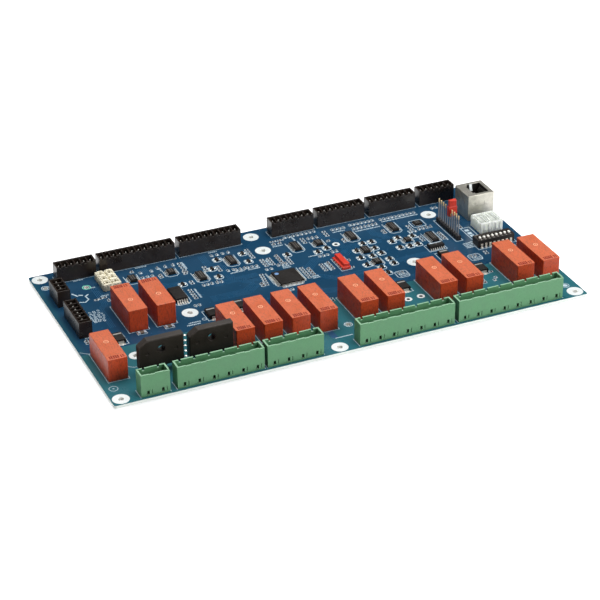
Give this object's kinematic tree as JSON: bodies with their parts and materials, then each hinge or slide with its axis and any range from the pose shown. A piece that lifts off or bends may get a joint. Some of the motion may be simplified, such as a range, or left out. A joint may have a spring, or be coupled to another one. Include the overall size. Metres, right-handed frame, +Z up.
{
  "type": "relay controller board",
  "caption": "Circuit board with relays, pluggable wiring headers, bridge rectifiers, an Ethernet jack and a DIP switch, for switching loads under control.",
  "frame": {"origin": "centre of the circuit board's underside", "axes": "+X along the long edge, +Y from the power headers to the signal headers, +Z up out of the component side"},
  "size_m": [0.2606, 0.1376, 0.0209],
  "materials": {
    "board": "blue solder mask over glass-epoxy laminate, tinned pads, white printed marks",
    "relay_case": "moulded orange plastic, fine grain",
    "relay_base": "moulded plastic",
    "copper": "enamelled copper winding on a bobbin",
    "steel": "plated soft iron",
    "tinned_metal": "tin-plated sheet metal",
    "green_plastic": "moulded green plastic",
    "black_plastic": "moulded black plastic",
    "epoxy": "moulded black epoxy",
    "white_plastic": "moulded white plastic",
    "red_plastic": "moulded red plastic",
    "cream_plastic": "moulded cream plastic"
  },
  "bodies": {
    "board": {"circuit_board": "board", "relay_case_1": "relay_case", "relay_case_2": "relay_case", "relay_case_3": "relay_case", "relay_case_4": "relay_case", "relay_case_5": "relay_case", "relay_case_6": "relay_case", "relay_case_7": "relay_case", "relay_case_8": "relay_case", "relay_case_9": "relay_case", "relay_case_10": "relay_case", "relay_case_11": "relay_case", "relay_case_12": "relay_case", "relay_case_13": "relay_case", "relay_1_base": "relay_base", "relay_1_coil": "copper", "relay_1_yoke": "steel", "relay_1_contact_blade": "tinned_metal", "power_header_1": "green_plastic", "power_header_2": "green_plastic", "power_header_3": "green_plastic", "power_header_4": "green_plastic", "power_header_5": "green_plastic", "signal_header_1": "black_plastic", "signal_header_2": "black_plastic", "signal_header_3": "black_plastic", "signal_header_4": "black_plastic", "signal_header_5": "black_plastic", "signal_header_6": "black_plastic", "signal_header_7": "black_plastic", "side_header_1": "black_plastic", "side_header_2": "black_plastic", "bridge_rectifier_1": "epoxy", "bridge_rectifier_2": "epoxy", "ethernet_jack_shell": "tinned_metal", "ethernet_jack_insert": "black_plastic", "cable_header_1": "white_plastic", "cable_header_2": "white_plastic", "dip_switch_body": "epoxy", "pin_strip": "black_plastic", "link_block": "red_plastic", "wire_block": "cream_plastic", "microcontroller": "epoxy", "regulator": "epoxy", "power_diode_1": "epoxy", "power_diode_2": "epoxy", "power_diode_3": "epoxy", "power_diode_4": "epoxy", "power_diode_5": "epoxy", "power_diode_6": "epoxy"},
    "dip_slider_1": {"dip_slider_1": "white_plastic"},
    "dip_slider_2": {"dip_slider_2": "white_plastic"},
    "dip_slider_3": {"dip_slider_3": "white_plastic"},
    "dip_slider_4": {"dip_slider_4": "white_plastic"},
    "dip_slider_5": {"dip_slider_5": "white_plastic"},
    "dip_slider_6": {"dip_slider_6": "white_plastic"},
    "dip_slider_7": {"dip_slider_7": "white_plastic"},
    "dip_slider_8": {"dip_slider_8": "white_plastic"},
    "relay_1_armature": {"relay_1_armature": "steel"},
    "parked_jumper": {"parked_jumper": "red_plastic"}
  },
  "joints": [
    {"name": "dip_slider_1_slide", "type": "slide", "parent": "board", "child": "dip_slider_1", "axis": [0, 1, 0], "range_m": [0, 0.0014]},
    {"name": "dip_slider_2_slide", "type": "slide", "parent": "board", "child": "dip_slider_2", "axis": [0, 1, 0], "range_m": [0, 0.0014]},
    {"name": "dip_slider_3_slide", "type": "slide", "parent": "board", "child": "dip_slider_3", "axis": [0, 1, 0], "range_m": [0, 0.0014]},
    {"name": "dip_slider_4_slide", "type": "slide", "parent": "board", "child": "dip_slider_4", "axis": [0, 1, 0], "range_m": [0, 0.0014]},
    {"name": "dip_slider_5_slide", "type": "slide", "parent": "board", "child": "dip_slider_5", "axis": [0, 1, 0], "range_m": [0, 0.0014]},
    {"name": "dip_slider_6_slide", "type": "slide", "parent": "board", "child": "dip_slider_6", "axis": [0, 1, 0], "range_m": [0, 0.0014]},
    {"name": "dip_slider_7_slide", "type": "slide", "parent": "board", "child": "dip_slider_7", "axis": [0, 1, 0], "range_m": [0, 0.0014]},
    {"name": "dip_slider_8_slide", "type": "slide", "parent": "board", "child": "dip_slider_8", "axis": [0, 1, 0], "range_m": [0, 0.0014]},
    {"name": "relay_1_armature_pivot", "type": "hinge", "parent": "board", "child": "relay_1_armature", "pos_m": [-0.12045, -0.0258, 0.0118], "axis": [-1, 0, 0], "range_deg": [0, 3.5]},
    {"name": "parked_jumper_lift", "type": "slide", "parent": "board", "child": "parked_jumper", "axis": [0, 0, 1], "range_m": [0, 0.006]}
  ]
}
